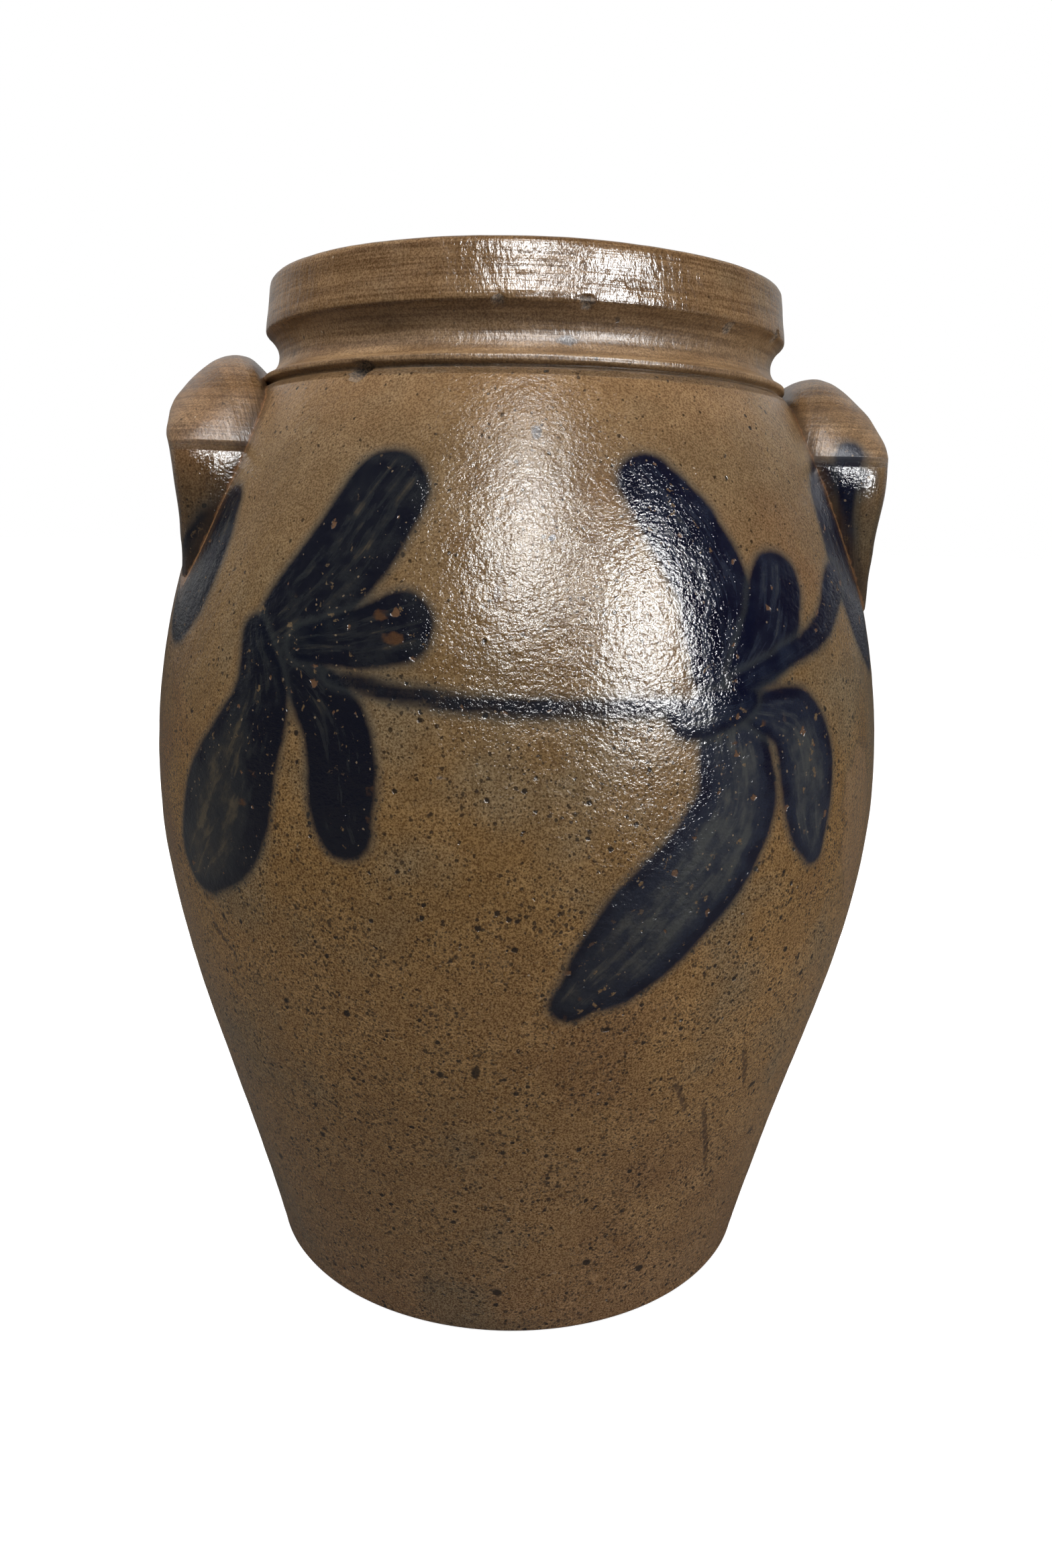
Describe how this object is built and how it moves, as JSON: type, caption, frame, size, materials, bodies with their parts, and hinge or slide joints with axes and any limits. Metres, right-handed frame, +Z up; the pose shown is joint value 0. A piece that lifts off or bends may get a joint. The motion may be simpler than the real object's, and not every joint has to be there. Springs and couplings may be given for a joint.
{
  "type": "ceramic fermenting crock",
  "caption": "Ovoid salt-glazed stoneware crock with a squared collar rim, lug handles on its shoulder, an inset lid with a knob, and half-moon weights resting on its floor.",
  "frame": {"origin": "centre of the foot, on the surface that the crock stands on", "axes": "+Z up along the axis that the crock was thrown on, +X towards the right handle, -Y towards the side that carries the brushwork"},
  "size_m": [0.2599, 0.26, 0.3508],
  "materials": {
    "salt_glaze_body": "orange-peel salt glaze over brown-grey stoneware, with cobalt slip brushwork",
    "salt_glaze_handle": "glossier, browner salt glaze",
    "lid_glaze": "orange-peel salt glaze",
    "bare_stoneware": "matt unglazed stoneware"
  },
  "bodies": {
    "crock": {"crock_body": "salt_glaze_body", "handle_left": "salt_glaze_handle", "handle_right": "salt_glaze_handle"},
    "lid": {"lid_disc": "lid_glaze", "lid_knob": "lid_glaze"},
    "left_weight": {"weight_left": "bare_stoneware"},
    "right_weight": {"weight_right": "bare_stoneware"}
  },
  "joints": [
    {"name": "lid_lift", "type": "slide", "parent": "crock", "child": "lid", "axis": [0, 0, 1], "range_m": [0, 0.12]},
    {"name": "left_weight_lift", "type": "slide", "parent": "crock", "child": "left_weight", "axis": [0, 0, 1], "range_m": [0, 0.26]},
    {"name": "right_weight_lift", "type": "slide", "parent": "crock", "child": "right_weight", "axis": [0, 0, 1], "range_m": [0, 0.26]}
  ]
}
